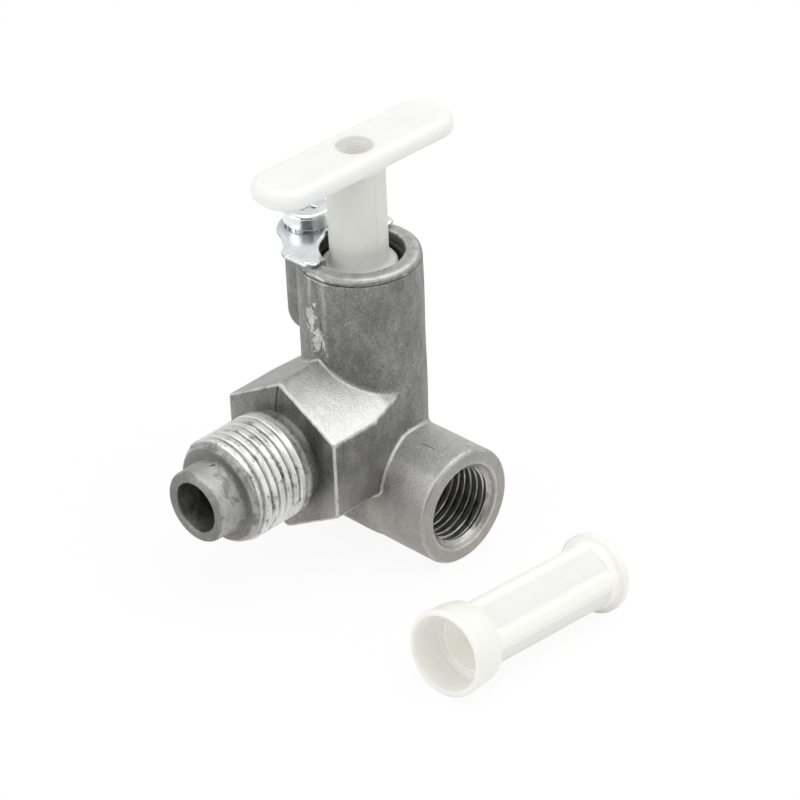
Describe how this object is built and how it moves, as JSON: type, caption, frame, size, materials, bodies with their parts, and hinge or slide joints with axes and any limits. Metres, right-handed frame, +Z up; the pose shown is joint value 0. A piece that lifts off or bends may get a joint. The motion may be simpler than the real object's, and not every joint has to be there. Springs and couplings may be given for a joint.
{
  "type": "fuel tap",
  "caption": "Threaded tank fuel tap with a T-handle rotary plug, a side outlet with a female thread and a push-on gauze strainer lying beside it.",
  "frame": {"origin": "on the axis of the tank thread, at the inner end of the thread, where the plain relief groove begins", "axes": "-Y out along the inlet and tank thread, +X out of the outlet, +Z up the barrel towards the handle; the screw boss is on the -X side"},
  "size_m": [0.074, 0.0612, 0.0733],
  "materials": {
    "casting": "die cast, with turned faces and cut threads",
    "handle_plastic": "off-white moulded plastic, satin",
    "strainer_plastic": "white moulded plastic",
    "gauze": "fine woven nylon",
    "zinc_steel": "bright zinc plate",
    "rubber": "black nitrile rubber"
  },
  "bodies": {
    "tap_body": {"body": "casting", "retainer_plate": "zinc_steel", "lock_washer": "zinc_steel", "retainer_screw": "zinc_steel", "strainer_frame": "strainer_plastic", "strainer_gauze": "gauze"},
    "tap_plug": {"tap_handle": "handle_plastic", "lower_o_ring": "rubber", "upper_o_ring": "rubber", "shut_off_seal": "rubber"}
  },
  "joints": [
    {"name": "plug_turn", "type": "hinge", "parent": "tap_body", "child": "tap_plug", "pos_m": [0, 0.0233, 0], "axis": [0, 0, 1], "range_deg": [0, 90]}
  ]
}
